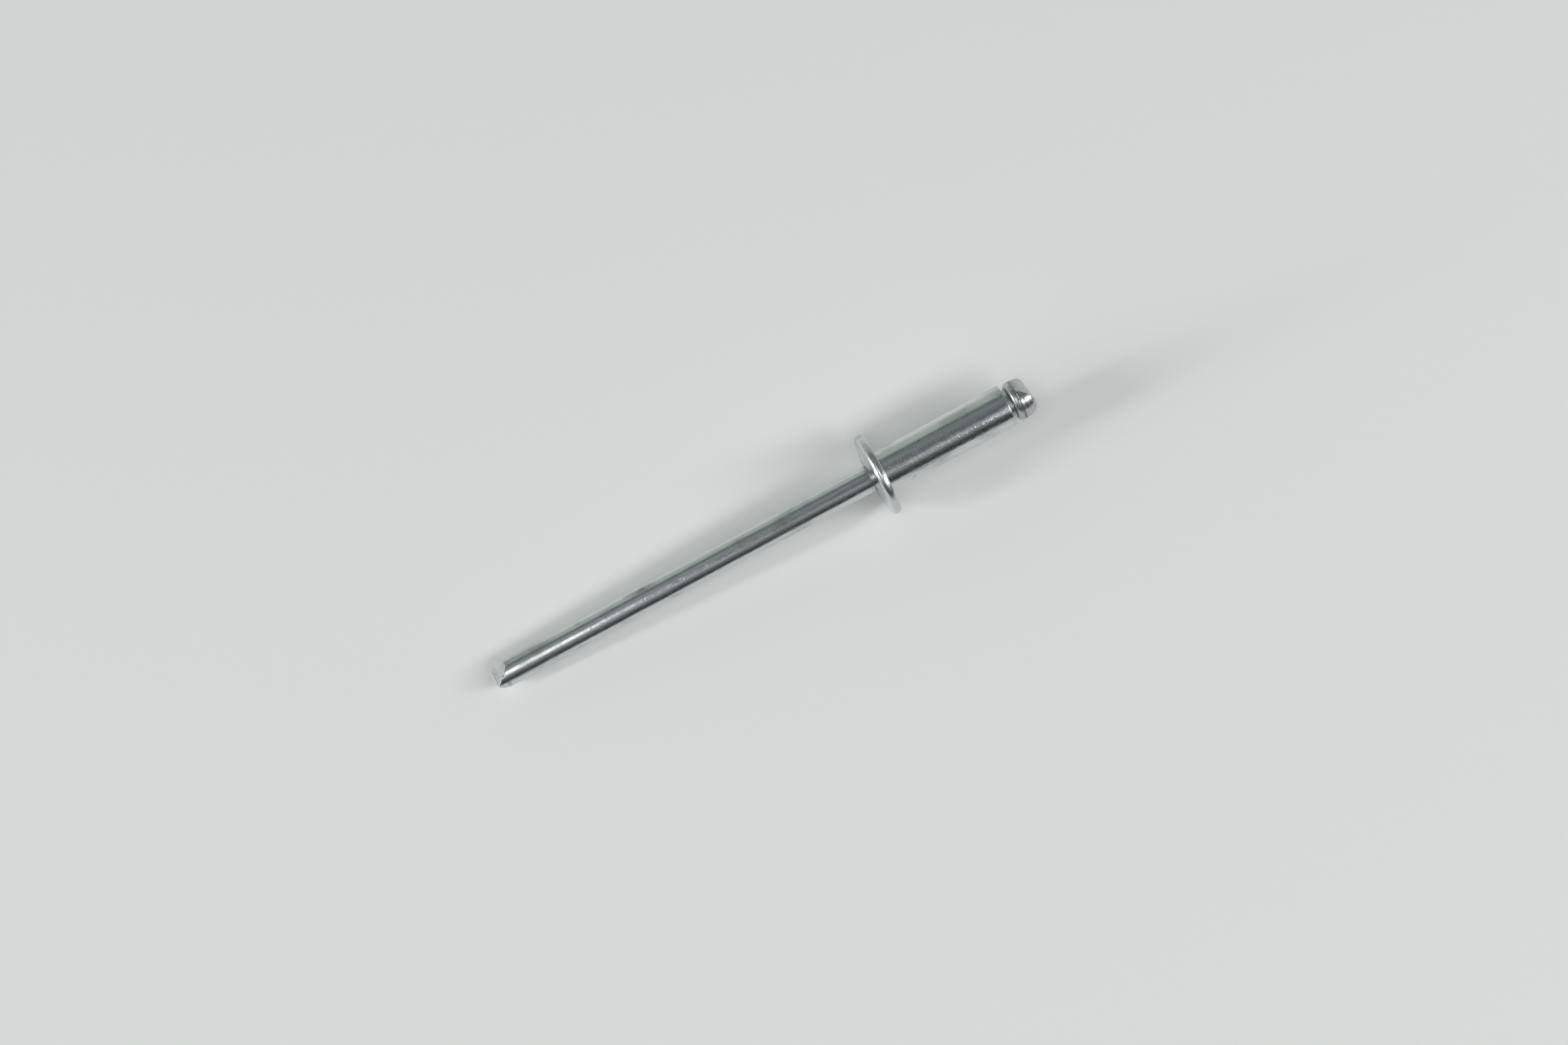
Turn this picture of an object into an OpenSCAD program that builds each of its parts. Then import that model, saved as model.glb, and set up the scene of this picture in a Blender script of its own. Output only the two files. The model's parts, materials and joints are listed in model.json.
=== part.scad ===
// Open-end blind rivet with a domed flange, unset, lying at rest on a flat
// surface: the flange's rim and the tail of the mandrel touch that surface.
//
// Both pieces are turned about one axis. Along that axis z = 0 is the seat
// under the flange, +z runs to the blind end and -z to the mandrel's tail.
// The assembled rivet is then laid down, so that the axis runs along +X and
// climbs by the small angle at which the real rivet rests. All sizes are mm.

/* [Rivet body] */
// Outer diameter of the tubular shank
shank_d = 3.2; // [3.1:0.05:4]
// Length of the shank from the flange's seat to the blind end
shank_len = 10.3; // [7:0.1:20]
// Radius of the bore minus the radius of the mandrel's stem
stem_clearance = 0.04; // [0.02:0.01:0.08]
// Rounding of the shank's outer edge at the blind end
blind_edge_r = 0.08; // [0.05:0.01:0.2]
// Fillet in the corner between the seat and the shank
seat_fillet_r = 0.1; // [0.05:0.01:0.2]

/* [Flange] */
// Outer diameter of the flange
flange_d = 6.35; // [5.8:0.05:8]
// Height of the dome's crown above the seat
crown_h = 0.93; // [0.8:0.01:1.3]
// Diameter of the flat land around the hole in the crown
crown_land_d = 2.76; // [2.4:0.02:3.2]
// Radius of the shallow sphere that the dome is part of
dome_r = 14; // [11:0.5:20]
// Rounding of the dome's shoulder, up to the flange's widest place
shoulder_r = 0.37; // [0.3:0.01:0.42]
// Radius of the rim, from its widest place towards the seat
rim_r = 0.5; // [0.45:0.01:0.8]
// Rounding of the rim's edge at the seat
rim_edge_r = 0.12; // [0.05:0.01:0.18]

/* [Mandrel stem] */
// Diameter of the drawn wire
stem_d = 1.94; // [1.8:0.01:2.1]
// Length of the stem that stands out of the crown
stem_out = 30.6; // [24:0.05:40]
// Distance of the break groove from the blind end, inside the bore
groove_in = 1.6; // [1:0.1:3]
// Diameter left at the bottom of the break groove
groove_d = 1.35; // [1.1:0.05:1.6]
// Included angle of the break groove
groove_angle = 80; // [60:5:100]

/* [Grip] */
// Depth of the ring in the stem that the crown's lip is nipped into
grip_depth = 0.08; // [0.05:0.01:0.12]
// Width of that ring, from the crown inwards
grip_w = 0.6; // [0.54:0.02:0.7]

/* [Mandrel head] */
// Largest diameter of the head
head_d = 3.02; // [2.8:0.02:3.06]
// Length of the head beyond the blind end
head_len = 1.9; // [1.8:0.02:2.4]
// Diameter of the short neck that bears on the blind end
neck_d = 2.28; // [2.2:0.02:2.5]
// Length of the neck
neck_len = 0.26; // [0.08:0.01:0.3]
// Length of the rounded collar, from the neck to the crease
collar_len = 0.56; // [0.5:0.02:0.76]
// Rounding of the collar's edge at the neck
collar_r = 0.34; // [0.15:0.01:0.36]
// Depth of the crease between the collar and the barrel
crease_depth = 0.05; // [0.03:0.01:0.08]
// Diameter of the half-round end, which runs across the barrel
head_end_d = 2.82; // [2.5:0.02:3.2]
// Rounding of the barrel's edge at its free end
head_edge_r = 0.46; // [0.1:0.01:0.5]

/* [Cut ends] */
// Turn of the tail's ridge and of the head's end about the axis, from the vertical
ridge_turn = 55; // [0:5:90]
// Angle between the tail's facets and the axis
tail_angle = 36; // [30:1:45]
// Angle between the tail's narrow end bevels and the axis
tail_bevel_angle = 47; // [46:1:75]
// Width of the tail's two end bevels together, across the ridge
tail_bevel_w = 0.72; // [0.3:0.02:1.2]
// How far the cutter drew in the two ends of the tail's ridge
tail_draw_in = 0.03; // [0.02:0.01:0.15]
// Length over which the tail is drawn in
tail_draw_len = 0.8; // [0.4:0.05:1]

/* [Hidden] */

$fn = 96;

steel_bright = [0.74, 0.76, 0.77];
steel_wire = [0.68, 0.70, 0.71];

shank_r = shank_d / 2;
stem_r = stem_d / 2;
bore_r = stem_r + stem_clearance;
head_r = head_d / 2;
neck_r = neck_d / 2;

// The dome's sphere, placed so that it cuts the crown's plane at the land's edge
dome_centre_z = -crown_h + sqrt(dome_r * dome_r - crown_land_d * crown_land_d / 4);
// The shoulder's arc touches the sphere from inside, and ends at the crest,
// the flange's widest place
shoulder_centre_r = flange_d / 2 - shoulder_r;
crest_z = dome_centre_z
    - sqrt(pow(dome_r - shoulder_r, 2) - pow(shoulder_centre_r, 2));
// The rim's arc starts at the crest, and touches the arc of its edge
rim_centre_r = flange_d / 2 - rim_r;
rim_reach = rim_r - rim_edge_r;
rim_lean = asin((-rim_edge_r - crest_z) / rim_reach);
rim_edge_centre_r = rim_centre_r + rim_reach * cos(rim_lean);
rim_touch_z = crest_z + rim_r * sin(rim_lean);

// Places along the axis
tail_z = -crown_h - stem_out;
head_z = shank_len + head_len;
crease_z = shank_len + neck_len + collar_len;

// Half width of the end bevels, and their length along the axis
bevel_half_w = tail_bevel_w / 2;
bevel_len = bevel_half_w / tan(tail_bevel_angle);
// The lowest line of the stem ends where the lower facet begins
tail_foot_offset = stem_r * sin(ridge_turn);
tail_foot_z = tail_z + max(
    tail_foot_offset <= bevel_half_w
        ? tail_foot_offset / tan(tail_bevel_angle)
        : bevel_len + (tail_foot_offset - bevel_half_w) / tan(tail_angle),
    tail_draw_len);

// The rivet rests on the shoulder's arc and on the foot of the tail, so a line
// through the foot touches the arc: this is the angle from it to the axis
rest_span = crest_z - tail_foot_z;
rest_rise = shoulder_centre_r - stem_r;
rest_tilt = atan2(rest_rise, rest_span)
    + asin(shoulder_r / sqrt(rest_span * rest_span + rest_rise * rest_rise));

// Length by which a cutting tool reaches past the surface that it cuts
over = 1;

// Lays a piece down: its axis runs along +X and climbs by the rest angle
module laid_down() {
    rotate([0, 90 - rest_tilt, 0]) children();
}

// Half section of the rim: a disc that narrows on an arc from its widest place
// towards the seat, where its edge is rounded
module rim_section() {
    intersection() {
        translate([rim_centre_r, crest_z]) circle(r = rim_r);
        translate([0, crest_z]) square([flange_d, rim_touch_z - crest_z]);
    }
    translate([0, crest_z]) square([rim_edge_centre_r, -crest_z]);
    translate([rim_edge_centre_r, -rim_edge_r]) circle(r = rim_edge_r);
}

// Half section of the dome: a shallow sphere, a rounded shoulder and a flat
// land around the hole
module dome_section() {
    intersection() {
        translate([0, dome_centre_z]) circle(r = dome_r, $fn = 720);
        union() {
            translate([0, -crown_h]) square([shoulder_centre_r, crown_h]);
            translate([shoulder_centre_r, crest_z]) circle(r = shoulder_r);
        }
        translate([0, -crown_h]) square([flange_d, crown_h + crest_z]);
    }
}

// Half section of the shank: straight, with a rounded edge at the blind end
module shank_section() {
    translate([0, crest_z])
        square([shank_r, shank_len - blind_edge_r - crest_z]);
    square([shank_r - blind_edge_r, shank_len]);
    translate([shank_r - blind_edge_r, shank_len - blind_edge_r])
        circle(r = blind_edge_r);
}

// Half section of the fillet between the seat and the shank
module seat_fillet_section() {
    difference() {
        translate([shank_r - over, crest_z])
            square([seat_fillet_r + over, seat_fillet_r - crest_z]);
        translate([shank_r + seat_fillet_r, seat_fillet_r])
            circle(r = seat_fillet_r);
    }
}

// A ring of V section just inside the crown, pointing inwards from a radius
// and reaching outwards from it: the lip in the body and the ring in the stem
module grip_ring(radius, reach) {
    rotate_extrude() translate([radius, -crown_h])
        polygon([[-grip_depth, grip_w / 2],
                 [0, 0],
                 [reach, 0],
                 [reach, grip_w],
                 [0, grip_w]]);
}

// The rivet body: flange and tubular shank, headed from one piece of steel
module rivet_body() {
    color(steel_bright) laid_down() {
        difference() {
            rotate_extrude() {
                rim_section();
                dome_section();
                shank_section();
                seat_fillet_section();
            }
            translate([0, 0, -crown_h - over])
                cylinder(r = bore_r, h = crown_h + shank_len + 2 * over);
        }
        grip_ring(bore_r, shoulder_r);
    }
}

// A groove of V section around the stem
module break_groove() {
    groove_half = (stem_r - groove_d / 2 + over) * tan(groove_angle / 2);
    translate([0, 0, shank_len - groove_in]) rotate_extrude()
        polygon([[groove_d / 2, 0],
                 [stem_r + over, -groove_half],
                 [stem_r + over, groove_half]]);
}

// Drawn wire whose last stretch is drawn in towards the tail's ridge
module stem_round() {
    translate([0, 0, tail_z])
        cylinder(r1 = stem_r - tail_draw_in, r2 = stem_r, h = tail_draw_len);
    translate([0, 0, tail_z + tail_draw_len])
        cylinder(r = stem_r, h = shank_len - tail_z - tail_draw_len);
}

// Everything between the tail's two facets, which meet in a blunt ridge
module tail_wedge() {
    flank = stem_r + over;
    flank_z = tail_z + bevel_len + (flank - bevel_half_w) / tan(tail_angle);
    rotate([0, 0, ridge_turn]) rotate([90, 0, 90])
        linear_extrude(height = 2 * flank, center = true)
            polygon([[0, tail_z],
                     [bevel_half_w, tail_z + bevel_len],
                     [flank, flank_z],
                     [flank, head_z + over],
                     [-flank, head_z + over],
                     [-flank, flank_z],
                     [-bevel_half_w, tail_z + bevel_len]]);
}

// Half section of a disc with both edges rounded, from z = 0 to z = length
module rounded_disc_section(radius, length, foot_r, end_r) {
    translate([0, foot_r]) square([radius, length - foot_r - end_r]);
    square([radius - foot_r, foot_r]);
    translate([radius - foot_r, foot_r]) circle(r = foot_r);
    translate([0, length - end_r]) square([radius - end_r, end_r]);
    translate([radius - end_r, length - end_r]) circle(r = end_r);
}

// The collar behind the head's barrel, with the neck that bears on the shank
module head_collar() {
    translate([0, 0, shank_len]) cylinder(r = neck_r, h = neck_len + collar_len);
    translate([0, 0, shank_len + neck_len]) rotate_extrude()
        rounded_disc_section(head_r, collar_len, collar_r, crease_depth);
}

// The barrel, whose free end is half round across the axis
module head_barrel() {
    end_r = head_end_d / 2;
    intersection() {
        translate([0, 0, crease_z]) rotate_extrude()
            rounded_disc_section(head_r, head_z - crease_z, crease_depth, head_edge_r);
        rotate([0, 0, ridge_turn]) rotate([90, 0, 90])
            linear_extrude(height = 2 * (head_r + over), center = true) {
                translate([0, head_z - end_r]) circle(r = end_r);
                translate([-end_r, head_z - end_r - head_len])
                    square([head_end_d, head_len]);
            }
    }
}

// The mandrel: stem, grip ring, break groove and head, one piece of cut wire
module mandrel() {
    color(steel_wire) laid_down() {
        difference() {
            intersection() {
                stem_round();
                tail_wedge();
            }
            break_groove();
            grip_ring(stem_r, over);
        }
        head_collar();
        head_barrel();
    }
}

rivet_body();
mandrel();
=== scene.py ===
# %% [markdown]
# # An open-end blind rivet, waiting to be set
# A blind rivet is two pieces of steel. The rivet body is a tube with a domed
# flange headed on one end. The mandrel is a wire that runs through the tube,
# with a head at the blind end that is too wide to pass. A riveting tool grips
# the wire's tail and pulls: the head spreads the tube, and the wire snaps.
# Here it is unset, and lies where it came to rest, on the flange's rim and the
# tail of the mandrel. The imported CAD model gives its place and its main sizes.

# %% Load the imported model
import json
from math import cos, radians, sin, sqrt, tan

import bmesh
import bpy
import numpy as np
from mathutils import Matrix, Vector


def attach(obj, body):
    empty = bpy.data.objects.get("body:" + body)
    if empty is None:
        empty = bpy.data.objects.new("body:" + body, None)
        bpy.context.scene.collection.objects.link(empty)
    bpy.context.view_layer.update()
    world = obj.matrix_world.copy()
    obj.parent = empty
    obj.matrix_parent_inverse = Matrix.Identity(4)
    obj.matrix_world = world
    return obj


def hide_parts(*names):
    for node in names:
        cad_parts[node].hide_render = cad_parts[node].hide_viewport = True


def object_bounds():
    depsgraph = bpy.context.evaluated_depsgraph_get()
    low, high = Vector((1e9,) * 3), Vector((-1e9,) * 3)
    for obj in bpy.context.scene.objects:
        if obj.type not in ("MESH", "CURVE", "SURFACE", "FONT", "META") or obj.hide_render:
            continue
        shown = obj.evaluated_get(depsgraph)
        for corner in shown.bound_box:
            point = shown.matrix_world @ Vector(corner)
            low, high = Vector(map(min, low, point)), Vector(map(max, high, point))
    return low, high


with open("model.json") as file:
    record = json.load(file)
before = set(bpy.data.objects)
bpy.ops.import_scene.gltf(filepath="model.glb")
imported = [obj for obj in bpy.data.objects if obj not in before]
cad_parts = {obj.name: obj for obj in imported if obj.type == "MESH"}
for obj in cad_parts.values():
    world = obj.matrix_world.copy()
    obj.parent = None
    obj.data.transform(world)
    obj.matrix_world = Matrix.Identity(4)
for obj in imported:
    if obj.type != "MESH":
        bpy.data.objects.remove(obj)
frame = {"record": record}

cad_low, cad_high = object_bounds()
print("CAD box in mm:", [round(1000 * (h - l), 2) for l, h in zip(cad_low, cad_high)])

# %% [markdown]
# ## A frame along the rivet's axis
# Everything on a rivet is round about one axis, so it is easiest to think of
# each point as a distance along that axis and a place in the plane across it.
# The record's shank mount holds the axis and the shank's radius. Distances
# along it start at the seat under the flange and grow to the blind end. Sizes
# are in millimetres, and become metres only on the way out.

# %% The axis and the two directions across it
MM = 0.001
mounts = {m["name"]: m for m in frame["record"]["mounts"]}
ALONG = np.array(mounts["shank"]["axis"])
ALONG /= np.linalg.norm(ALONG)
SIDE = np.array([0.0, 1.0, 0.0])
UP = np.cross(ALONG, SIDE)
SHANK_R = mounts["shank"]["dims"]["r_mm"]
STEM_R = mounts["mandrel_stem"]["dims"]["r_mm"]


def in_frame(along, up, side):
    """A point: along times the axis, plus up and side times the two directions across it, from mm to metres."""
    return MM * (along[..., None] * ALONG + up[..., None] * UP + side[..., None] * SIDE)


print(f"the axis climbs {np.degrees(np.arcsin(ALONG[2])):.2f} degrees")

# %% [markdown]
# ## From a grid of points to a mesh
# Both pieces are grids: one direction runs along the piece, the other goes
# round it and closes on itself. Each cell of the grid becomes a four-sided
# face. A grid also has its own map, in millimetres, of how far along and how
# far round each corner is, which a finish can follow, and it carries layers,
# which say point by point how tarnished and how rough the plate is, and where
# shade is painted in.

# %% Make a mesh from a grid
MERGE_MM = 0.0005


def grid_piece(name, points, along_mm, round_mm, wear_and_shade, closed):
    """Faces join point (i, j) to its neighbours. Columns j close round the piece; rows i close too when closed is set.

    points is rows x columns x 3. along_mm has one value a row, and round_mm one value a column and one more for
    the seam. wear names the layers that a finish can read, each from 0 to 1, with a value for every row or for
    every point.
    """
    rows, columns, _ = points.shape
    i = np.arange(rows if closed else rows - 1)[:, None]
    j = np.arange(columns)[None, :]
    i2, j2 = (i + 1) % rows, (j + 1) % columns
    quads = np.stack([i * columns + j, i * columns + j2, i2 * columns + j2, i2 * columns + j], -1).reshape(-1, 4)
    mesh = bpy.data.meshes.new(name)
    mesh.from_pydata(points.reshape(-1, 3), [], quads)
    u = np.stack(np.broadcast_arrays(round_mm[j], round_mm[j + 1], round_mm[j + 1], round_mm[j]), -1)
    v = np.stack(np.broadcast_arrays(along_mm[i], along_mm[i], along_mm[i + 1], along_mm[i + 1]), -1)
    u, v = np.broadcast_arrays(u, v)
    layer = mesh.uv_layers.new(name="millimetres")
    layer.data.foreach_set("uv", np.stack([u, v], -1).reshape(-1).astype(np.float32))
    for kind, amount in wear_and_shade.items():
        layer = mesh.attributes.new(kind, "FLOAT", "POINT")
        layer.data.foreach_set("value", np.broadcast_to(amount, (rows, columns)).clip(0, 1).astype(np.float32).ravel())
    piece = bpy.data.objects.new(name, mesh)
    bpy.context.scene.collection.objects.link(piece)
    return piece


def close_up(piece):
    """Merges points that lie on each other, and turns the whole shell outwards if its signed volume is negative."""
    work = bmesh.new()
    work.from_mesh(piece.data)
    bmesh.ops.remove_doubles(work, verts=work.verts, dist=MERGE_MM * MM)
    if work.calc_volume(signed=True) < 0:
        bmesh.ops.reverse_faces(work, faces=work.faces)
    volume = work.calc_volume(signed=True) / MM ** 3
    open_edges = sum(1 for e in work.edges if len(e.link_faces) != 2)
    work.to_mesh(piece.data)
    work.free()
    piece.data.shade_smooth()
    print(f"{piece.name}: {volume:.1f} mm3, {open_edges} open edges, "
          f"{2 * len(piece.data.polygons)} triangles, {len(piece.data.vertices)} points")


# %% [markdown]
# ## Paths with worn corners
# A turned or headed piece has no true corners: the tool's radius, tumbling and
# the plating all round them a little, and it is that rounding that catches the
# light. A Bevel modifier could round them, but it works edge by edge, and here
# small arcs, each made of many short edges, lie close together. So each outline
# is drawn with plain corners and arcs, stepped along very finely, and averaged
# with a short bell curve, which rounds every corner the same. Then only the
# points that matter are kept: many where the path bends, few where it runs
# straight.

# %% Draw, soften and thin a path
WORN_MM = 0.018  # the width of the bell curve
STEP_MM = 0.004
BELL_REACH = 4  # the bell curve is cut off after so many times its width


def arc(centre, radius, start, end, count=40):
    """Points on a circle: centre plus radius times the cosine along the axis, and times the sine away from it.

    The angle runs evenly from start to end, in degrees from the axis.
    """
    angle = np.radians(np.linspace(start, end, count))
    return np.stack([centre[0] + radius * np.cos(angle), centre[1] + radius * np.sin(angle)], -1)


def run_along(path):
    """How far along the path each of its points is: the running sum of the distances between neighbours."""
    return np.r_[0, np.cumsum(np.linalg.norm(np.diff(path, axis=0), axis=1))]


def softened(parts, bend_deg=5.0, longest_mm=0.4, closed=False):
    """The path through the parts, averaged with a bell curve of width WORN_MM along its length.

    Points are kept so that the path turns by bend_deg or runs for longest_mm between them.
    """
    corners = np.concatenate([np.atleast_2d(p) for p in parts]).astype(float)
    if closed:
        corners = np.concatenate([corners, corners[:1]])
    length = run_along(corners)
    keep = np.r_[True, np.diff(length) > 1e-9]
    corners, length = corners[keep], length[keep]
    s = np.linspace(0, length[-1], int(length[-1] / STEP_MM))
    fine = np.stack([np.interp(s, length, corners[:, k]) for k in (0, 1)], -1)
    reach = int(BELL_REACH * WORN_MM / STEP_MM)
    bell = np.exp(-0.5 * (np.arange(-reach, reach + 1) * STEP_MM / WORN_MM) ** 2)
    bell /= bell.sum()
    if closed:
        padded = np.concatenate([fine[-reach - 1:-1], fine, fine[1:reach + 1]])
    else:
        padded = np.concatenate([2 * fine[0] - fine[reach:0:-1], fine, 2 * fine[-1] - fine[-2:-reach - 2:-1]])
    fine = np.stack([np.convolve(padded[:, k], bell, "valid") for k in (0, 1)], -1)
    step = np.diff(fine, axis=0)
    heading = np.unwrap(np.arctan2(step[:, 1], step[:, 0]))
    turn = np.r_[0, np.abs(np.diff(heading)), 0]
    cost = np.cumsum(np.degrees(turn) / bend_deg + np.r_[0, np.linalg.norm(step, axis=1)] / longest_mm)
    chosen = np.searchsorted(cost, np.linspace(0, cost[-1], int(np.ceil(cost[-1])) + 1)[:-1])
    chosen = np.unique(chosen) if closed else np.unique(np.r_[chosen, len(fine) - 1])
    return fine[chosen]


# %% [markdown]
# ## The rivet body
# The body starts as a slug or a length of tube. A header presses one end out
# into the flange: a shallow dome with a narrow flat land round the hole, a
# shoulder that rounds over to the flange's widest place, and a rim that falls
# off more slowly from there and turns in to the seat with a small edge. Its
# outline is one closed path, from the hole in the crown over the dome, round
# the rim, in along the seat, out along the shank, and back through the bore. A
# Screw modifier could turn it about the axis, but a grid lets each point waver
# a little and carry its own wear and painted shade.

# %% Outline of the body
SHANK_LEN, BLIND_EDGE_R, SEAT_FILLET_R = 10.3, 0.13, 0.1
FLANGE_R, SHOULDER_R, RIM_R, RIM_EDGE_R = 3.175, 0.37, 0.5, 0.12
CROWN_H, LAND_R, DOME_R = 0.93, 1.38, 14.0
BORE_R, GRIP_DEPTH, GRIP_W = STEM_R + 0.04, 0.08, 0.6

dome_centre = -CROWN_H + sqrt(DOME_R ** 2 - LAND_R ** 2)
dome_start = np.degrees(np.arctan2(LAND_R, -CROWN_H - dome_centre))
# The shoulder's circle touches the dome from inside, and its crest is the flange's widest place
crest = dome_centre - sqrt((DOME_R - SHOULDER_R) ** 2 - (FLANGE_R - SHOULDER_R) ** 2)
dome_end = np.degrees(np.arctan2(FLANGE_R - SHOULDER_R, crest - dome_centre))
# From there the rim falls off on a wider circle, and a small one turns it in to the seat
reach, aside = RIM_R - RIM_EDGE_R, -RIM_EDGE_R - crest
rim_end = np.degrees(np.arccos(aside / reach))
edge_centre = (-RIM_EDGE_R, FLANGE_R - RIM_R + sqrt(reach ** 2 - aside ** 2))
body_path = softened([
    [(-CROWN_H, BORE_R + 0.03)],
    arc((dome_centre, 0), DOME_R, dome_start, dome_end),
    arc((crest, FLANGE_R - SHOULDER_R), SHOULDER_R, dome_end, 90),
    arc((crest, FLANGE_R - RIM_R), RIM_R, 90, rim_end),
    arc(edge_centre, RIM_EDGE_R, rim_end, 0, 12),
    arc((SEAT_FILLET_R, SHANK_R + SEAT_FILLET_R), SEAT_FILLET_R, 180, 270, 12),
    arc((SHANK_LEN - BLIND_EDGE_R, SHANK_R - BLIND_EDGE_R), BLIND_EDGE_R, 90, 0, 12),
    [(SHANK_LEN, BORE_R + 0.05), (SHANK_LEN - 0.05, BORE_R), (GRIP_W - CROWN_H, BORE_R),
     (GRIP_W / 2 - CROWN_H, BORE_R - GRIP_DEPTH), (-CROWN_H + 0.03, BORE_R)],
], longest_mm=0.12, closed=True)
print(f"body outline: {len(body_path)} points, radius up to {body_path[:, 1].max():.3f} mm")

# %% [markdown]
# ### A tube that isn't quite true
# The wall of a headed and plated tube wavers by a few thousandths of a
# millimetre, which the eye only sees because a bright surface bends what it
# mirrors. A bump in the finish could imitate that, but the waves are long, and
# the mesh is fine enough to hold them. A few low waves of sines are enough.

# %% Sweep the outline round the axis
COLUMNS = 256
LOBES = (2, 3, 5)


def waver(along, angle, seed, height_mm, lengths_mm):
    """A sum of long sine waves, each with whole lobes round the piece and a length along it, divided by their number.

    Each wave is a sine round times a cosine along, plus 0.6 times a somewhat shorter sine along.
    """
    rng = np.random.default_rng(seed)
    total = 0
    for lobe, length in zip(LOBES, lengths_mm):
        a, b = rng.uniform(0, 2 * np.pi, 2)
        round_and_along = np.sin(lobe * angle + a) * np.cos(2 * np.pi * along / length + b)
        total = total + round_and_along + 0.6 * np.sin(2 * np.pi * along / (0.7 * length) + a)
    return height_mm * total / len(LOBES)


angle = np.linspace(0, 2 * np.pi, COLUMNS, endpoint=False)[None, :] + np.pi
x, r = body_path[:, :1], body_path[:, 1:]
outside = np.clip((r - BORE_R) / 0.3, 0, 1)  # 0 in the bore, so that the mandrel stays clear of it
radius = r + outside * waver(x, angle, seed=4, height_mm=0.004, lengths_mm=(9.0, 5.0, 3.1))
along = np.broadcast_to(x, radius.shape)
body_points = in_frame(along, radius * np.cos(angle), radius * np.sin(angle))
print(f"body grid: {len(body_points)} rows of {COLUMNS} points")

# %% [markdown]
# ### Where the body's plate is worn, and where shade is painted
# Tarnish and painted shade are a sum of soft spots at places on the outline,
# and of a few stains that each have their own place on the surface. Two of the
# spots are painted shade: one in the corner under the flange, and one on the
# crown round the hole, where the stem comes out. The bore is darkened all the
# way down. All of it could be painted by hand, but a formula that follows the
# outline needs no painting again when the shape changes. The plate is roughest
# on the rim and where the tube was cut.

# %% Wear and painted shade on the body


def spot(along, radius, at_along, at_radius, reach_mm):
    """A bell curve of the distance from one place on an outline: 1 there, and next to nothing two reaches away."""
    return np.exp(-((along - at_along) ** 2 + (radius - at_radius) ** 2) / reach_mm ** 2)


def stains(along, about, radius, places):
    """The sum of soft patches, each its strength times a bell curve of the distance along and one of that round.

    A place is its distance along, its angle about in degrees, its length and width in mm, and its strength.
    """
    total = 0
    for at, angle, length, width, strength in places:
        aside = radius * np.radians((about - angle + 180) % 360 - 180)
        total = total + strength * np.exp(-((along - at) / length) ** 2 - (aside / width) ** 2)
    return total


# One short nick, as three small patches in a slanting row, and a faint stain along the shank
BODY_STAINS = ((1.73, 80, 0.08, 0.05, 0.9), (1.83, 75, 0.08, 0.05, 0.9), (1.93, 70, 0.08, 0.05, 0.9),
               (3.2, 58, 1.2, 0.15, 0.2))

on_flange = x < 0.02
rim = np.clip((r - 3.05) / 0.08, 0, 1) * on_flange
tarnish_and_shade = (0.12 * rim
           # Painted shade in the corner under the flange
           + 0.7 * spot(x, r, 0.03, SHANK_R + 0.05, 0.12)  # the corner under the flange
           + 0.5 * spot(x, r, -CROWN_H, LAND_R, 0.1)  # the edge of the crown's land
           # Painted shade on the crown round the hole, where the stem comes out
           + 0.4 * spot(x, r, -CROWN_H, BORE_R, 0.3)  # round the hole
           + 0.4 * spot(x, r, SHANK_LEN, BORE_R + 0.25, 0.35)  # the cut end
           + (r < BORE_R + 0.01)  # down the bore
           + stains(along, -np.degrees(angle), SHANK_R, BODY_STAINS))
rough = 0.06 * on_flange + 0.2 * rim + 0.5 * spot(x, r, SHANK_LEN, SHANK_R, 0.15)
body = grid_piece("plated_body", body_points, run_along(np.r_[body_path, body_path[:1]]),
                  SHANK_R * np.linspace(0, 2 * np.pi, COLUMNS + 1), {"tarnish_and_shade": tarnish_and_shade, "rough": rough}, closed=True)
close_up(body)

# %% [markdown]
# ## The mandrel
# The mandrel is cut from drawn wire. Its tail is nipped off by two blades,
# which leave two slanting facets and draw the wire in a little, and its head is
# upset in a die at the other end: a rounded collar, a crease, and a barrel
# whose end is half round. It could be a cylinder cut by wedges with a Boolean,
# but that leaves hard edges and uneven faces, which a bright finish shows.
# Going round the wire, every section is a circle with its two sides cut flat,
# so one formula serves the whole length: the circle's radius follows an
# outline, and its height is held to a limit that shrinks to nothing at both
# ends.

# %% Outline of the mandrel
STEM_OUT, GROOVE_IN, GROOVE_R, GROOVE_HALF = 30.6, 1.6, 0.675, 0.2475
HEAD_R, HEAD_LEN, NECK_R, NECK_LEN = 1.51, 1.9, 1.14, 0.26
COLLAR_LEN, COLLAR_R, CREASE, HEAD_END_R, HEAD_EDGE_R = 0.54, 0.36, 0.05, 1.41, 0.3
TAIL_RIDGE_R, TAIL_DRAW, TAIL_EDGE_R = 0.94, 0.8, 0.16

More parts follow.
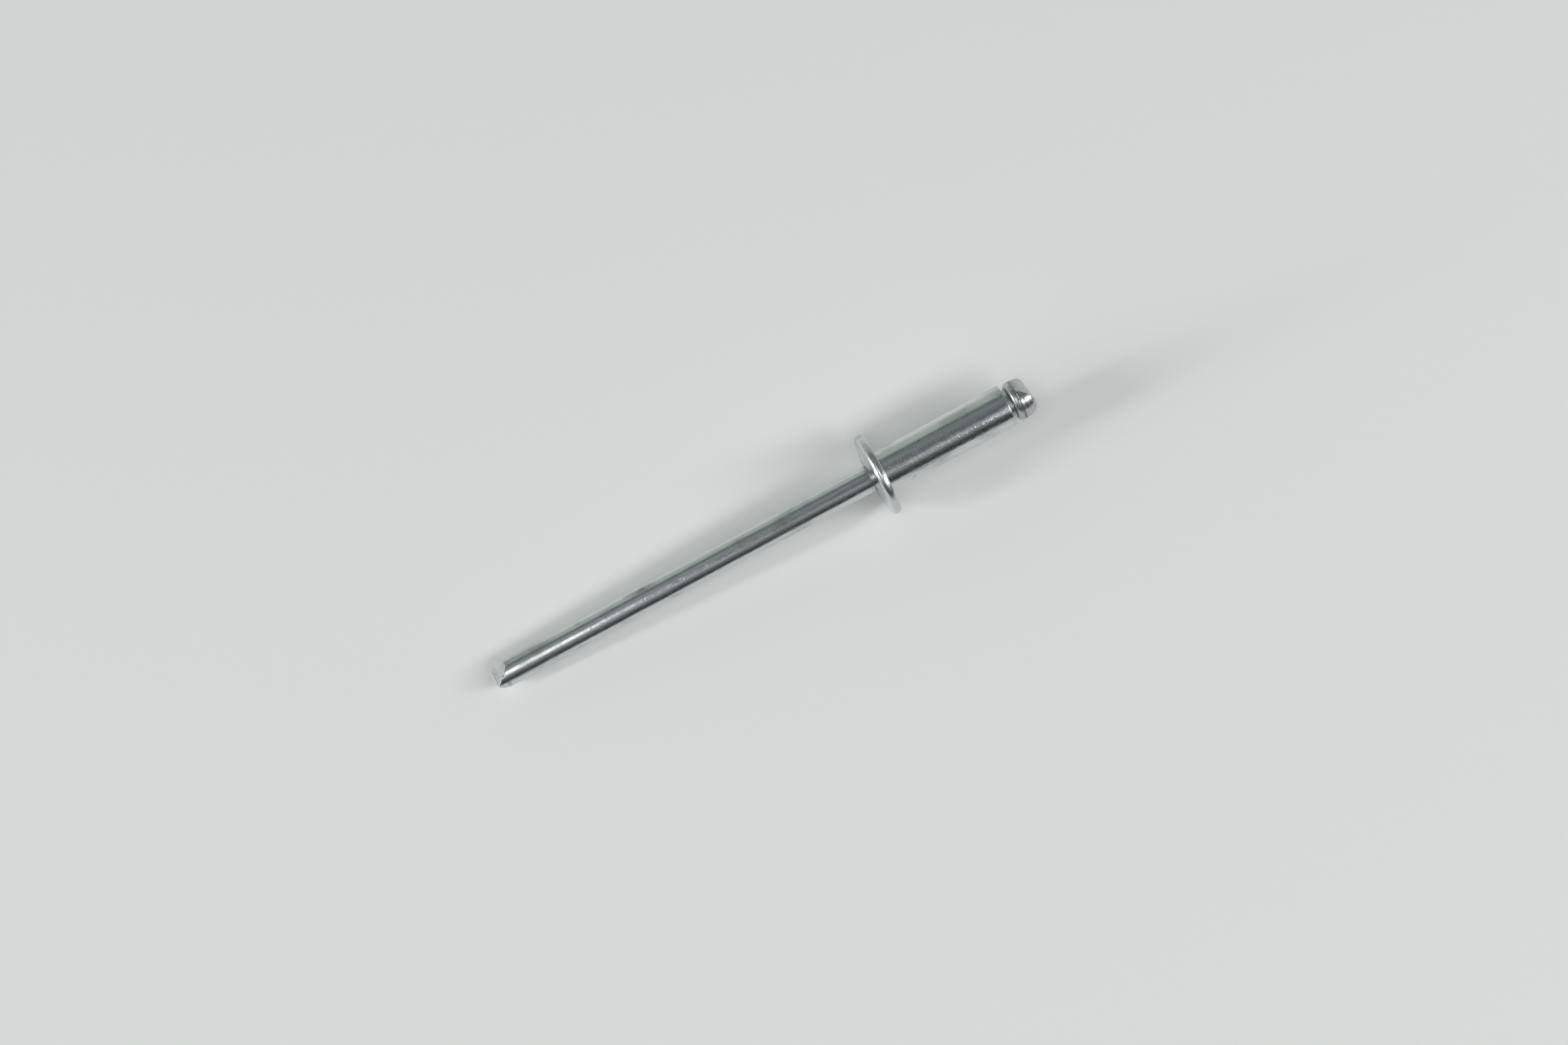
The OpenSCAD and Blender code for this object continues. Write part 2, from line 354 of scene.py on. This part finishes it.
tail = -CROWN_H - STEM_OUT
head_end = SHANK_LEN + HEAD_LEN
head_seat = SHANK_LEN + 0.001  # a hair clear of the body's cut end
collar_foot = SHANK_LEN + NECK_LEN
crease = collar_foot + COLLAR_LEN
groove = SHANK_LEN - GROOVE_IN
mandrel_path = softened([
    arc((tail + TAIL_EDGE_R, TAIL_RIDGE_R - TAIL_EDGE_R), TAIL_EDGE_R, 180, 90, 12),
    [(tail + TAIL_DRAW, STEM_R), (-CROWN_H, STEM_R),
     (-CROWN_H + GRIP_W / 2, STEM_R - GRIP_DEPTH), (-CROWN_H + GRIP_W, STEM_R),
     (groove - GROOVE_HALF, STEM_R), (groove, GROOVE_R), (groove + GROOVE_HALF, STEM_R),
     (head_seat, STEM_R), (head_seat, NECK_R), (collar_foot, NECK_R)],
    arc((collar_foot + COLLAR_R, HEAD_R - COLLAR_R), COLLAR_R, 180, 90),
    arc((crease - CREASE, HEAD_R - CREASE), CREASE, 90, 0, 12),
    arc((crease + CREASE, HEAD_R - CREASE), CREASE, 180, 90, 12),
    arc((head_end - HEAD_EDGE_R, HEAD_R - HEAD_EDGE_R), HEAD_EDGE_R, 90, 0),
], bend_deg=6.0)
mandrel_path[:, 0] = np.clip(mandrel_path[:, 0], tail, head_end)
print(f"mandrel path: {len(mandrel_path)} points, {head_end - tail:.2f} mm long")

# %% The limit on its height
RIDGE_TURN, TAIL_ANGLE, BEVEL_ANGLE, BEVEL_HALF_W = 55.0, 36.0, 47.0, 0.36
NO_LIMIT = 9.0


def height_limit(along):
    """Half the height that is left: two slopes from the tail's ridge, and a half circle at the head's end."""
    in_from_tail = np.maximum(along - tail, 0)
    bevel_len = BEVEL_HALF_W / tan(radians(BEVEL_ANGLE))
    tail_limit = np.where(in_from_tail < bevel_len,
                          in_from_tail * tan(radians(BEVEL_ANGLE)),
                          BEVEL_HALF_W + (in_from_tail - bevel_len) * tan(radians(TAIL_ANGLE)))
    past = np.clip(along - (head_end - HEAD_END_R), 0, HEAD_END_R)
    head_limit = np.where(along > crease, np.sqrt(HEAD_END_R ** 2 - past ** 2), NO_LIMIT)
    return np.minimum(tail_limit, head_limit)


up_the_wire = np.linspace(0, 2, 201)
print(f"facets: {up_the_wire[height_limit(tail + up_the_wire) >= STEM_R][0]:.2f} mm up the wire")

# %% [markdown]
# ### Rows where the limit bites
# The thinned outline has few rows where it runs straight, but the facets and
# the half-round end cut across just those stretches. Subdividing everything
# would do, but wastes faces, so rows are added only there: even steps up the
# facets, and even angles over the half-round end. The head isn't a true
# cylinder either. It is fullest at its crease, falls off evenly to the neck and
# ever faster to its end, and has a faint ring pressed into the barrel.

# %% Rows of the mandrel
extra = np.r_[tail + np.linspace(0, 1.5, 70),
              crease + 0.12 + np.linspace(0, head_end - HEAD_END_R - crease, 6),
              head_end - HEAD_END_R * (1 - np.sin(np.radians(np.linspace(2, 90, 44))))]
open_end = (mandrel_path[:, 0] < -CROWN_H - 0.1) | (mandrel_path[:, 0] > crease + CREASE)
rows_along = np.unique(np.round(np.r_[extra, mandrel_path[open_end, 0]], 4))
rows_radius = np.interp(rows_along, mandrel_path[open_end, 0], mandrel_path[open_end, 1])
first, last = rows_along < -CROWN_H, rows_along > crease
outline = np.concatenate([
    np.stack([rows_along[first], rows_radius[first]], -1),
    mandrel_path[~open_end],
    np.stack([rows_along[last], rows_radius[last]], -1)])

past = outline[:, 0] - crease
faint_ring = 0.02 * np.exp(-((past - 0.27) / 0.075) ** 2)
fall = np.where(past > 0, 0.07 * past + 0.15 * past ** 2, -0.07 * past) + faint_ring
outline[:, 1] -= fall * np.clip((outline[:, 0] - collar_foot) / 0.1, 0, 1)
print(f"mandrel outline: {len(outline)} rows")

# %% [markdown]
# ### Cut the sides flat and turn the ridge
# The limit meets the circle in a corner, which a blade or a die leaves slightly
# round, so the smaller of the two heights is taken through a short blend. The
# blend is wider over a short stretch of the facets' lower edge, which is less
# crisp than the upper one, and there is a small pit near the ridge.

# %% Sweep the mandrel
HEAD_BLEND, TAIL_BLEND, BLUNT_BLEND, PIT_DEEP = 0.035, 0.025, 0.09, 0.04


def held_below(height, limit, blend_mm):
    """The smaller of height and limit, with the corner between them rounded over blend_mm.

    Across the blend it is a weighted mean of the two, less the blend times the product of the weights.
    """
    blend = np.maximum(np.minimum(blend_mm, limit), 1e-6)
    share = np.clip(0.5 + 0.5 * (limit - height) / blend, 0, 1)
    return np.maximum(limit + (height - limit) * share - blend * share * (1 - share), 0)


angle = np.linspace(0, 2 * np.pi, COLUMNS, endpoint=False)[None, :]
x, r = outline[:, :1], outline[:, 1:]
# The wire wavers a little, but not inside the tube and not where it is cut
free = np.clip((-CROWN_H - 0.2 - x) / 1.0, 0, 1) * np.clip((x - tail) / 1.0, 0, 1)
radius = r + free * waver(x, angle, seed=9, height_mm=0.0035, lengths_mm=(14.0, 6.1, 3.7))
in_from_tail = x - tail
ridge = radius * np.cos(angle)
blunt = np.exp(-((in_from_tail - 0.66) / 0.14) ** 2)
blend_mm = np.where(x > 0, HEAD_BLEND, TAIL_BLEND + BLUNT_BLEND * blunt * (ridge < 0))
height = held_below(np.abs(radius * np.sin(angle)), height_limit(x), blend_mm)
pit = np.exp(-((in_from_tail - 0.17) ** 2 + (ridge - 0.3) ** 2) / 0.055 ** 2)
height = np.sign(np.sin(angle)) * np.maximum(height - PIT_DEEP * pit, 0)
turn = radians(RIDGE_TURN)
up = -ridge * cos(turn) + height * sin(turn)
side = ridge * sin(turn) + height * cos(turn)
mandrel_points = in_frame(np.broadcast_to(x, radius.shape), up, side)
print(f"mandrel grid: {len(mandrel_points)} rows of {COLUMNS} points")

# %% [markdown]
# ### Where the mandrel's plate is worn, and where shade is painted
# The head is duller than the wire, and painted shade makes it darkest in its
# crease and on its neck. Painted shade also darkens the stem where it comes
# out of the crown. The stem darkens on the tail's ridge and where the bevels
# beside it end. A few soft stains lie along it. All of it is built from the
# same spots and stains as on the body.

# %% Wear and painted shade on the mandrel
TAIL_STAINS = ((tail + 0.8, 62, 0.13, 0.45, 0.55), (tail + 2.0, -38, 1.5, 0.3, 0.4))
STEM_STAINS = ((-20.3, -44, 0.25, 0.12, 0.5), (-19.2, -35, 0.9, 0.28, 0.6), (-24.5, -36, 0.2, 0.12, 0.4),
               (-24.9, 72, 0.5, 0.15, 0.3), (-17.3, 68, 0.6, 0.15, 0.3), (-8.0, 80, 1.5, 0.15, 0.25))

on_head = np.clip((x - SHANK_LEN) / 0.05, 0, 1)
before_crease = past[:, None] < -0.04
about = np.degrees(angle) + RIDGE_TURN - 180
tarnish_and_shade = (0.28 * on_head
           # Painted shade in the crease, and in the corner where the neck meets the collar
           + 0.45 * spot(x, r, crease, HEAD_R, 0.12)
           + 0.15 * spot(x, r, collar_foot, NECK_R, 0.12)
           # Painted shade where the stem comes out of the crown
           + 0.4 * spot(x, r, -CROWN_H - 0.04, STEM_R, 0.25)  # the stem's root
           + 0.35 * np.exp(-(in_from_tail / 0.06) ** 2)  # the ridge
           + 0.12 * np.exp(-((in_from_tail - 0.34) / 0.05) ** 2)  # the bevels' end
           + 0.9 * pit
           + stains(x, about, STEM_R, TAIL_STAINS + STEM_STAINS))
rough = (0.15 + 0.06 * before_crease) * on_head + 0.25 * (in_from_tail < 0.35)
mandrel = grid_piece("plated_mandrel", mandrel_points, run_along(outline),
                     STEM_R * np.linspace(0, 2 * np.pi, COLUMNS + 1), {"tarnish_and_shade": tarnish_and_shade, "rough": rough},
                     closed=False)
close_up(mandrel)

# %% [markdown]
# ## Helpers for colours and nodes
# Colours are written as a painter would pick them, in hex, and one function
# turns them into the linear values that a shader works with. Another adds a
# node, sets it up and links it, so that each material reads as a list.

# %% Colour and node helpers


def colour(code):
    """Linear red, green, blue and 1 from an sRGB hex code: the power 2.4 above the short straight part."""
    c = np.array([int(code[k:k + 2], 16) for k in (1, 3, 5)]) / 255
    return (*np.where(c <= 0.04045, c / 12.92, ((c + 0.055) / 1.055) ** 2.4), 1.0)


def node(tree, kind, inputs=None, **settings):
    """Adds a node with its settings. Each input takes a plain value, or the output socket that feeds it."""
    made = tree.nodes.new(kind)
    for name, value in settings.items():
        setattr(made, name, value)
    for socket, value in (inputs or {}).items():
        if isinstance(value, bpy.types.NodeSocket):
            tree.links.new(value, made.inputs[socket])
        else:
            made.inputs[socket].default_value = value
    return made


def empty_tree(owner):
    """The owner's node tree with nothing in it."""
    owner.use_nodes = True
    owner.node_tree.nodes.clear()
    return owner.node_tree


print(f"the middle grey #808080 is {colour('#808080')[0]:.3f} in linear light")

# %% [markdown]
# ## Bright zinc plate
# The steel is barrel plated with bright zinc: a thin, slightly bluish mirror
# that follows every mark below it. What the eye sees is what it mirrors, broken
# up by four things: fine lines along the piece, soft mottling, small shallow
# dents, and a few nicks. They could be modelled, but are a few thousandths of a
# millimetre deep, so each is only a height, chained from bump to bump. A glossy
# metal without them would look like chrome.
#
# Colour and gloss follow the wear and the painted shade. Tarnish turns the
# plate towards a brownish grey and dulls it, and painted shade does the same
# with the same grey: both come from the mesh's own layer, and tarnish also
# from faint blotches and streaks. The rough layer dulls the plate further.
# Drawing also spreads what the plate mirrors more across the lines than along
# them, which is what the shader's Anisotropic is for. It takes its direction
# from the mesh's map, and is off where the surface is rough.

# %% Plated steel
UM = 1e-6


def plated_steel(name, metal, tarnish_and_shade_grey, roughness, brushed, line_um, mottle_um, grain_um, nick_um):
    """Zinc plate with its clean colour, the brownish grey of its dulled plate and of painted shade, its roughness, and
    how strongly it is brushed by drawing.

    The last four are the heights of its lines, mottling, dents and nicks, in thousandths of a millimetre.
    """
    material = bpy.data.materials.new(name)
    tree = empty_tree(material)
    coordinates = node(tree, "ShaderNodeTexCoord").outputs["Object"]
    # Turned to the rivet's own axis, in millimetres, then squeezed along it
    level = node(tree, "ShaderNodeMapping", {
        "Vector": coordinates, "Rotation": (0, np.arcsin(ALONG[2]), 0), "Scale": (1 / MM, 1 / MM, 1 / MM),
    }).outputs["Vector"]
    drawn = node(tree, "ShaderNodeMapping", {"Vector": level, "Scale": (0.25, 9.0, 9.0)}).outputs["Vector"]
    rubbed = node(tree, "ShaderNodeMapping", {"Vector": level, "Scale": (0.6, 1.0, 1.0)}).outputs["Vector"]

    # Drawing lines are a few thousandths of a millimetre apart: drawn here at about a tenth, to show
    lines = node(tree, "ShaderNodeTexNoise", {
        "Vector": drawn, "Scale": 1.0, "Detail": 3.0, "Roughness": 0.6}).outputs["Fac"]
    mottle = node(tree, "ShaderNodeTexNoise", {
        "Vector": rubbed, "Scale": 3.2, "Detail": 3.0, "Roughness": 0.55}).outputs["Fac"]
    blotch = node(tree, "ShaderNodeTexNoise", {"Vector": rubbed, "Scale": 0.55, "Detail": 3.0}).outputs["Fac"]
    # Dents are about a tenth of a millimetre across, and fade to a quarter towards the stem's tail
    grains = node(tree, "ShaderNodeTexNoise", {
        "Vector": rubbed, "Scale": 9.0, "Detail": 2.0, "Roughness": 0.6}).outputs["Fac"]
    at_x = node(tree, "ShaderNodeSeparateXYZ", {"Vector": level}).outputs["X"]
    beaten = node(tree, "ShaderNodeMapRange", {
        "Value": at_x, "From Min": -23.0, "From Max": -13.0, "To Min": 0.25}).outputs["Result"]
    dents = node(tree, "ShaderNodeMath", {0: grains, 1: beaten}, operation="MULTIPLY").outputs["Value"]
    # Nicks are small round pits, about a millimetre apart
    from_nick = node(tree, "ShaderNodeTexVoronoi", {"Vector": rubbed, "Scale": 1.3}).outputs["Distance"]
    nicks = node(tree, "ShaderNodeMapRange", {
        "Value": from_nick, "From Min": 0.0, "From Max": 0.12}, interpolation_type="SMOOTHSTEP").outputs["Result"]

    # Tarnish and painted shade gather where the mesh says, unevenly, and tarnish also in a few soft blotches and
    # streaks elsewhere
    where = node(tree, "ShaderNodeAttribute", attribute_name="tarnish_and_shade").outputs["Fac"]
    uneven = node(tree, "ShaderNodeMapRange", {
        "Value": mottle, "From Min": 0.3, "From Max": 0.7, "To Min": 0.6, "To Max": 1.3}).outputs["Result"]
    blotches = node(tree, "ShaderNodeMapRange", {
        "Value": blotch, "From Min": 0.56, "From Max": 0.74, "To Max": 0.3}).outputs["Result"]
    streaks = node(tree, "ShaderNodeMapRange", {
        "Value": lines, "From Min": 0.42, "From Max": 0.75, "To Max": 0.2}).outputs["Result"]
    soiled = node(tree, "ShaderNodeMath", {0: blotches, 1: streaks}, operation="ADD").outputs["Value"]
    dull = node(tree, "ShaderNodeMath", {
        0: where, 1: uneven, 2: soiled}, operation="MULTIPLY_ADD", use_clamp=True).outputs["Value"]
    metal_colour = node(tree, "ShaderNodeMix", {
        "Factor": dull, "A": colour(metal), "B": colour(tarnish_and_shade_grey)}, data_type="RGBA").outputs["Result"]

    # The plate is glossiest in the hollows of the mottling, and duller with tarnish, with painted shade and on rough
    # places
    bright = node(tree, "ShaderNodeMapRange", {
        "Value": mottle, "From Min": 0.35, "From Max": 0.7,
        "To Min": 0.85 * roughness, "To Max": 1.3 * roughness}).outputs["Result"]
    duller = node(tree, "ShaderNodeMath", {0: dull, 1: 0.2, 2: bright}, operation="MULTIPLY_ADD").outputs["Value"]
    worn = node(tree, "ShaderNodeAttribute", attribute_name="rough").outputs["Fac"]
    rough = node(tree, "ShaderNodeMath", {0: worn, 1: 0.3, 2: duller}, operation="MULTIPLY_ADD").outputs["Value"]
    across = node(tree, "ShaderNodeTangent", direction_type="UV_MAP", uv_map="millimetres").outputs["Tangent"]
    streaked = node(tree, "ShaderNodeMapRange", {
        "Value": worn, "From Max": 0.05, "To Min": brushed, "To Max": 0.0}).outputs["Result"]

    bump = None
    for height, microns in ((lines, line_um), (mottle, mottle_um), (dents, -grain_um), (nicks, nick_um)):
        inputs = {"Height": height, "Strength": 1.0, "Distance": microns * UM}
        bump = node(tree, "ShaderNodeBump", inputs if bump is None else {**inputs, "Normal": bump}).outputs["Normal"]
    shader = node(tree, "ShaderNodeBsdfPrincipled", {
        "Base Color": metal_colour, "Metallic": 1.0, "Roughness": rough,
        "Anisotropic": streaked, "Tangent": across, "Normal": bump}).outputs["BSDF"]
    node(tree, "ShaderNodeOutputMaterial", {"Surface": shader})
    return material


# %% [markdown]
# ### Two steels under the same plate
# The body was pressed to shape, and has the deeper dents. The wire was drawn,
# so it spreads what it mirrors more across its length. Its plate is a shade
# duller and more mottled. One function makes both, so they differ only in
# these numbers.

# %% Give the pieces their finish
# A brownish grey, for tarnish and for shade painted into corners, the crease, the neck and round the stem's root
TARNISH_AND_SHADE_GREY = "#716D6B"
# Bright zinc, barrel plated, over steel that a header pressed to shape
body.data.materials.append(plated_steel(
    "bright_zinc_on_headed_steel", "#DEE1E3", TARNISH_AND_SHADE_GREY, roughness=0.15, brushed=0.5,
    line_um=1.5, mottle_um=1.8, grain_um=10.0, nick_um=2.0))
# The same plate over drawn steel wire
mandrel.data.materials.append(plated_steel(
    "bright_zinc_on_drawn_wire", "#DBDEE1", TARNISH_AND_SHADE_GREY, roughness=0.16, brushed=0.8,
    line_um=1.5, mottle_um=2.6, grain_um=5.5, nick_um=2.0))

for piece, cad_node, slot in ((body, "rivet_body", "plated_body_steel"), (mandrel, "mandrel", "plated_wire_steel")):
    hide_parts(cad_node)
    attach(piece, "root")
    print(f"{piece.name} replaces {cad_node}")

# %% [markdown]
# ## Floor
# The rivet lies on a pale board covered in matt cloth. It takes the soft
# shadow, and the lower half of every round surface mirrors it. The weave could
# be modelled, but a plain floor keeps the eye on the rivet: one big square,
# with no edge in view.

# %% Floor
FLOOR_HALF = 2.5
corner = np.array([(-1, -1, 0), (1, -1, 0), (1, 1, 0), (-1, 1, 0)]) * FLOOR_HALF + (0, 0, cad_low.z)
floor_mesh = bpy.data.meshes.new("pale_floor")
floor_mesh.from_pydata(corner, [], [(0, 1, 2, 3)])
floor = bpy.data.objects.new("pale_floor", floor_mesh)
bpy.context.scene.collection.objects.link(floor)
# Pale matt cloth, with almost no sheen
matt = bpy.data.materials.new("matt_pale_cloth_board")
tree = empty_tree(matt)
shader = node(tree, "ShaderNodeBsdfPrincipled", {
    "Base Color": colour("#FAFAF9"), "Roughness": 0.9, "Specular IOR Level": 0.2}).outputs["BSDF"]
node(tree, "ShaderNodeOutputMaterial", {"Surface": shader})
floor_mesh.materials.append(matt)
print(f"floor at z = {cad_low.z / MM:.3f} mm")

# %% [markdown]
# ## The tent
# Mirror-like parts are lit by large, soft things placed where the part will
# mirror them. The room is a dim tent whose panels run alongside the rivet. Each
# stop is an angle about the rivet's length, from straight up towards the near
# side, and a grey, and all were set for this one view. A pale panel low
# on the far side ends in a hard edge. The ceiling is dark, with a paler strip a
# little to the near side, and low on the near side is a dark panel. Beyond both
# ends of the rivet the tent opens on brighter panels, which steep surfaces
# mirror: the dome, the tail's facets and the half-round end. The dark panel has
# no such opening.
#
# An even grey world would be simpler, but would show little of how round a
# bright surface is. Panels could also be meshes, but a world needs no room
# round the part and casts no stray shadow.

# %% Room
TENT = ((-180, "#B4BCB4"), (-90, "#B2BCB2"), (-52, "#ACB8AC"), (-49, "#4A4C4B"), (-44, "#5C6062"),
        (-36, "#767D7C"), (-12, "#7C8281"), (-5, "#6A706F"), (8, "#54585A"), (15, "#5C5C64"),
        (22, "#787A7E"), (27, "#A2A6A8"), (34, "#9EA2A2"), (40, "#828886"), (50, "#6C726E"),
        (60, "#505450"), (66, "#38383A"), (90, "#38383A"), (180, "#424244"))
CLOSED_FROM = 50  # from this angle on the tent doesn't open at its ends
GLOW_BEYOND_TAIL, GLOW_BEYOND_HEAD = 1.8, 0.45

world = bpy.data.worlds.new("dim_tent")
bpy.context.scene.world = world
tree = empty_tree(world)
direction = node(tree, "ShaderNodeTexCoord").outputs["Generated"]
parts = node(tree, "ShaderNodeSeparateXYZ", {"Vector": direction})
# The angle about the rivet's length, as a share of a full turn
near = node(tree, "ShaderNodeMath", {0: parts.outputs["Y"], 1: -1.0}, operation="MULTIPLY").outputs["Value"]
about = node(tree, "ShaderNodeMath", {0: near, 1: parts.outputs["Z"]}, operation="ARCTAN2").outputs["Value"]
share = node(tree, "ShaderNodeMapRange", {
    "Value": about, "From Min": -np.pi, "From Max": np.pi}).outputs["Result"]
panels = node(tree, "ShaderNodeValToRGB", {"Fac": share})
ramp = panels.color_ramp
ramp.interpolation = "LINEAR"
while len(ramp.elements) < len(TENT):
    ramp.elements.new(0.5)
for element, (degrees, code) in zip(ramp.elements, TENT):
    element.position = (degrees + 180) / 360
    element.color = (*colour(code)[:3], 1.0 if degrees < CLOSED_FROM else 0.0)
sides = node(tree, "ShaderNodeBackground", {
    "Color": panels.outputs["Color"], "Strength": 1.0}).outputs["Background"]
glow = node(tree, "ShaderNodeMapRange", {
    "Value": parts.outputs["X"], "From Min": -0.9, "From Max": 0.9,
    "To Min": GLOW_BEYOND_TAIL, "To Max": GLOW_BEYOND_HEAD}).outputs["Result"]
ends = node(tree, "ShaderNodeBackground", {"Color": colour("#FFFFFF"), "Strength": glow}).outputs["Background"]
endwise = node(tree, "ShaderNodeMath", {0: parts.outputs["X"]}, operation="ABSOLUTE").outputs["Value"]
towards_end = node(tree, "ShaderNodeMapRange", {
    "Value": endwise, "From Min": 0.76, "From Max": 0.94}, interpolation_type="SMOOTHSTEP").outputs["Result"]
opened = node(tree, "ShaderNodeMath", {
    0: towards_end, 1: panels.outputs["Alpha"]}, operation="MULTIPLY").outputs["Value"]
room = node(tree, "ShaderNodeMixShader", {0: opened, 1: sides, 2: ends}).outputs["Shader"]
node(tree, "ShaderNodeOutputWorld", {"Surface": room})
print(f"tent: {len(ramp.elements)} stops")

# %% [markdown]
# ## Soft boxes
# Four soft boxes do the lighting: one overhead that leans towards the tail, one
# on the near side that leans towards the head, and two far out beyond the tail
# and beyond the head. These four stand off the plane across the rivet, so that
# its straight sides mirror only their blurred edges, as long streaks. A fifth,
# very faint, lifts the ceiling. Each is given by what the rivet sees of it, two
# angles for its place and two for its size, because that is what a bright
# surface shows, and is the same at any distance.

# %% Soft boxes


def soft_box(name, about, lean, wide, high, radiance, distance=0.6):
    """A rectangular area lamp that faces the seat of the flange from that distance, in metres.

    about is its angle about the rivet's length, from straight up towards the near side; lean is its angle out of
    the plane across the rivet, towards the blind end. wide and high are the angles it fills, along the rivet and
    across it. All are in degrees. Its power is the radiance times pi times its area.
    """
    around = cos(radians(about)) * UP - sin(radians(about)) * SIDE
    back = Vector(sin(radians(lean)) * ALONG + cos(radians(lean)) * around)
    length = (Vector(ALONG) - Vector(ALONG).dot(back) * back).normalized()
    lamp = bpy.data.lights.new(name, "AREA")
    lamp.shape = "RECTANGLE"
    lamp.size, lamp.size_y = (2 * distance * tan(radians(a / 2)) for a in (wide, high))
    lamp.energy = radiance * np.pi * lamp.size * lamp.size_y
    box = bpy.data.objects.new(name, lamp)
    bpy.context.scene.collection.objects.link(box)
    facing = Matrix((length, back.cross(length), back)).transposed().to_4x4()
    box.matrix_world = Matrix.Translation(back * distance) @ facing
    print(f"{name}: {lamp.size:.2f} by {lamp.size_y:.2f} m, radiance {radiance}")


soft_box("overhead_soft_box", about=11, lean=-13.7, wide=21, high=23, radiance=2.2)
soft_box("ceiling_soft_box", about=0, lean=-9, wide=24, high=60, radiance=0.08, distance=0.62)
soft_box("near_soft_box", about=38, lean=25, wide=26.5, high=14, radiance=4.8)
soft_box("tail_soft_box", about=-18, lean=-66, wide=32, high=6, radiance=20.0)
soft_box("head_soft_box", about=40, lean=50.5, wide=24, high=12, radiance=6.5)

# %% [markdown]
# ## Camera
# The view is from well above and close by, as one looks down on a small part
# on a bench, with the rivet slanting across it. A constraint could aim the
# camera, but its matrix is built here from its own right, top and back, so that
# its roll is exact too.

# %% Camera
LENS_MM, SENSOR_MM = 84.18367, 36.0
ELEVATION, DISTANCE = 75.5, 0.2635
VIEW_TURN = 28.04  # degrees from the left-to-right of the view to the rivet's length
AIM = Vector((-0.00797, 0.00001, 0))

right = Vector((cos(radians(VIEW_TURN)), -sin(radians(VIEW_TURN)), 0))
far = Vector((sin(radians(VIEW_TURN)), cos(radians(VIEW_TURN)), 0))
looking = far * cos(radians(ELEVATION)) - Vector((0, 0, sin(radians(ELEVATION))))
top = far * sin(radians(ELEVATION)) + Vector((0, 0, cos(radians(ELEVATION))))
lens = bpy.data.cameras.new("bench_camera")
lens.sensor_width = SENSOR_MM
lens.lens = LENS_MM
camera = bpy.data.objects.new("bench_camera", lens)
bpy.context.scene.collection.objects.link(camera)
facing = Matrix((right, top, -looking)).transposed().to_4x4()
camera.matrix_world = Matrix.Translation(AIM - looking * DISTANCE) @ facing
bpy.context.scene.camera = camera
bpy.context.scene.view_settings.view_transform = "Standard"
print(f"camera: {DISTANCE / MM:.1f} mm away, {ELEVATION} degrees up, {LENS_MM:.1f} mm lens")
